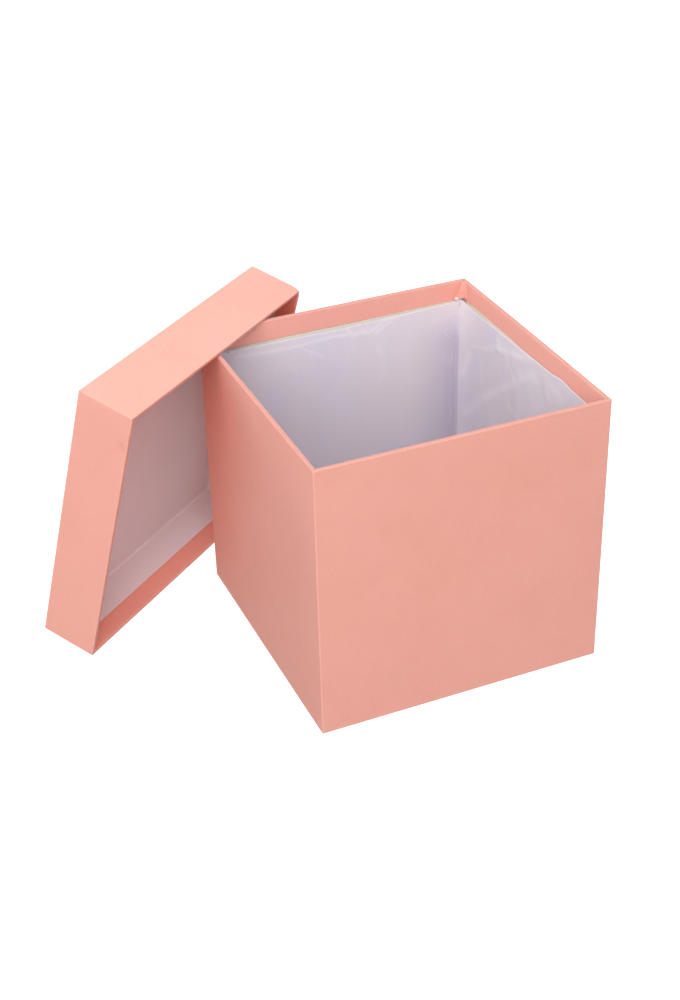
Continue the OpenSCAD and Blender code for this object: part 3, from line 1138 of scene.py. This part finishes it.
def tape_strip(side, name):
    """One strip of tape with slightly uneven edges, pressed flat on the wall."""
    steps = round(2 * TAPE_HALF_LENGTH / TAPE_SPACING)
    spin = Matrix.Rotation(side * math.pi / 2, 2)
    rows = []
    for share, y in [(0, -FACE_HALF), (0, -FILM_HALF), (0.5, -FILM_HALF), (1, -FILM_HALF), (1, -FACE_HALF)]:
        row = []
        for step in range(steps + 1):
            x = -TAPE_HALF_LENGTH + 2 * TAPE_HALF_LENGTH * step / steps
            uneven = 0.2 * MM * wobble(x / MM, share * 50, 18, side + 30)
            raised = between(TAPE_RAISE[side], x / TAPE_HALF_LENGTH) * MM if share else 0.0
            height = TAPE_LOW_Z + (TURN_IN_Z - TAPE_LOW_Z) * share + uneven + raised
            place = spin @ Vector((x, y))
            row.append((Vector((place.x, place.y, height)), 0.0))
        rows.append(row)
    mesh = bmesh.new()
    grid = add_grid(mesh, rows, close_rows=True, close_columns=False)
    mesh.faces.new([row[0] for row in grid])
    mesh.faces.new([row[-1] for row in grid])
    return make_piece(f"tape_{name}", mesh, "film_tape", "box", [f"film_tape_{name}"])


# ---- floor, light and camera

# The studio floor in section, rising into a backdrop far from the object: (distance from the middle, height)
STAGE_PROFILE = [(0.5, 0.0), (3.0, 0.0), (8.0, 0.0), (10.0, 0.5), (11.5, 1.8), (12.0, 3.5), (12.0, 12.0)]
STAGE_STEPS = 48
FLOOR_GAP = 0.05 * MM


def floor():
    """White studio floor with a curved backdrop. It gives the box no light and takes no shadow."""
    surface = Shader("studio_floor", 0.9, Specular_IOR_Level=0.1,
                     Emission_Color=(1, 1, 1, 1), Emission_Strength=1.0)
    grain = surface.spread(surface.noise(0.002, detail=2))
    material = surface.finish(surface.mix(grain, FLOOR_DARK, FLOOR_LIGHT))
    turns = [2 * math.pi * step / STAGE_STEPS for step in range(STAGE_STEPS)]
    rows = [[((reach * math.cos(turn), reach * math.sin(turn), height - FLOOR_GAP), 0.0) for turn in turns]
            for reach, height in STAGE_PROFILE]
    bowl = bmesh.new()
    close_fan(bowl, add_grid(bowl, rows)[0])
    bmesh.ops.recalc_face_normals(bowl, faces=bowl.faces)
    made = add_mesh("studio_floor", bowl, material)
    made.visible_diffuse = False
    made.visible_glossy = False
    made.visible_shadow = False


SKY_ABOVE = 0.55
SKY_BELOW = 0.36
SKY_FADE = 0.25
LAMP_AIM = Vector((0.0, 0.0, 0.1))
LAMPS = [
    # name, place, width, power
    ("top_light", (-0.1, 0.0, 1.9), 1.8, 10.2),
    ("front_light", (-1.15, -1.62, 1.4), 2.2, 55.0),
    ("fill_light", (1.5, 0.8, 0.9), 1.6, 8.0),
    ("back_light", (-0.9, 1.7, 0.8), 1.6, 12.0),
]


def lights():
    world = bpy.data.worlds.new("studio")
    world.use_nodes = True
    tree = world.node_tree
    sky = tree.nodes["Background"]
    sky.inputs["Color"].default_value = (1, 1, 1, 1)
    way = tree.nodes.new("ShaderNodeSeparateXYZ")
    fade = tree.nodes.new("ShaderNodeMapRange")
    heights = {"From Min": -SKY_FADE, "From Max": SKY_FADE, "To Min": SKY_BELOW, "To Max": SKY_ABOVE}
    for socket, value in heights.items():
        fade.inputs[socket].default_value = value
    tree.links.new(tree.nodes.new("ShaderNodeTexCoord").outputs["Generated"], way.inputs[0])
    tree.links.new(way.outputs["Z"], fade.inputs["Value"])
    tree.links.new(fade.outputs["Result"], sky.inputs["Strength"])
    bpy.context.scene.world = world
    for name, place, width, power in LAMPS:
        lamp = bpy.data.lights.new(name, "AREA")
        lamp.shape = "SQUARE"
        lamp.size = width
        lamp.energy = power
        made = add_object(name, lamp)
        made.location = place
        made.rotation_euler = (LAMP_AIM - Vector(place)).to_track_quat("-Z", "Y").to_euler()


CAMERA_PLACE = Vector((-0.4037, -0.8723, 0.6943))
CAMERA_AIM = Vector((-0.0391, 0.0070, 0.1000))
CAMERA_ROLL = math.radians(-1.596)
CAMERA_LENS = 60.36


def camera():
    data = bpy.data.cameras.new("camera")
    data.lens = CAMERA_LENS
    data.sensor_width = 36.0
    data.clip_start = 0.01
    data.clip_end = 100.0
    made = add_object("camera", data)
    made.rotation_mode = "QUATERNION"
    facing = (CAMERA_AIM - CAMERA_PLACE).to_track_quat("-Z", "Y").to_matrix()
    made.rotation_quaternion = (facing @ Matrix.Rotation(CAMERA_ROLL, 3, "Z")).to_quaternion()
    made.location = CAMERA_PLACE
    bpy.context.scene.camera = made


# ---- the scene

dress_cad_nodes()
box_wrap()
lid_cover()
lid_lining()
for node in ("lid_upper_board", "lid_far_board"):
    crushed_core(node, "greyboard")
crushed_core("lid_stay_upper_far", "kraft_tape")
film = film_bag()
for side, name in enumerate(("front", "right", "back", "left")):
    tape_strip(side, name)

floor()
lights()
camera()
bpy.context.scene.view_settings.view_transform = "Standard"
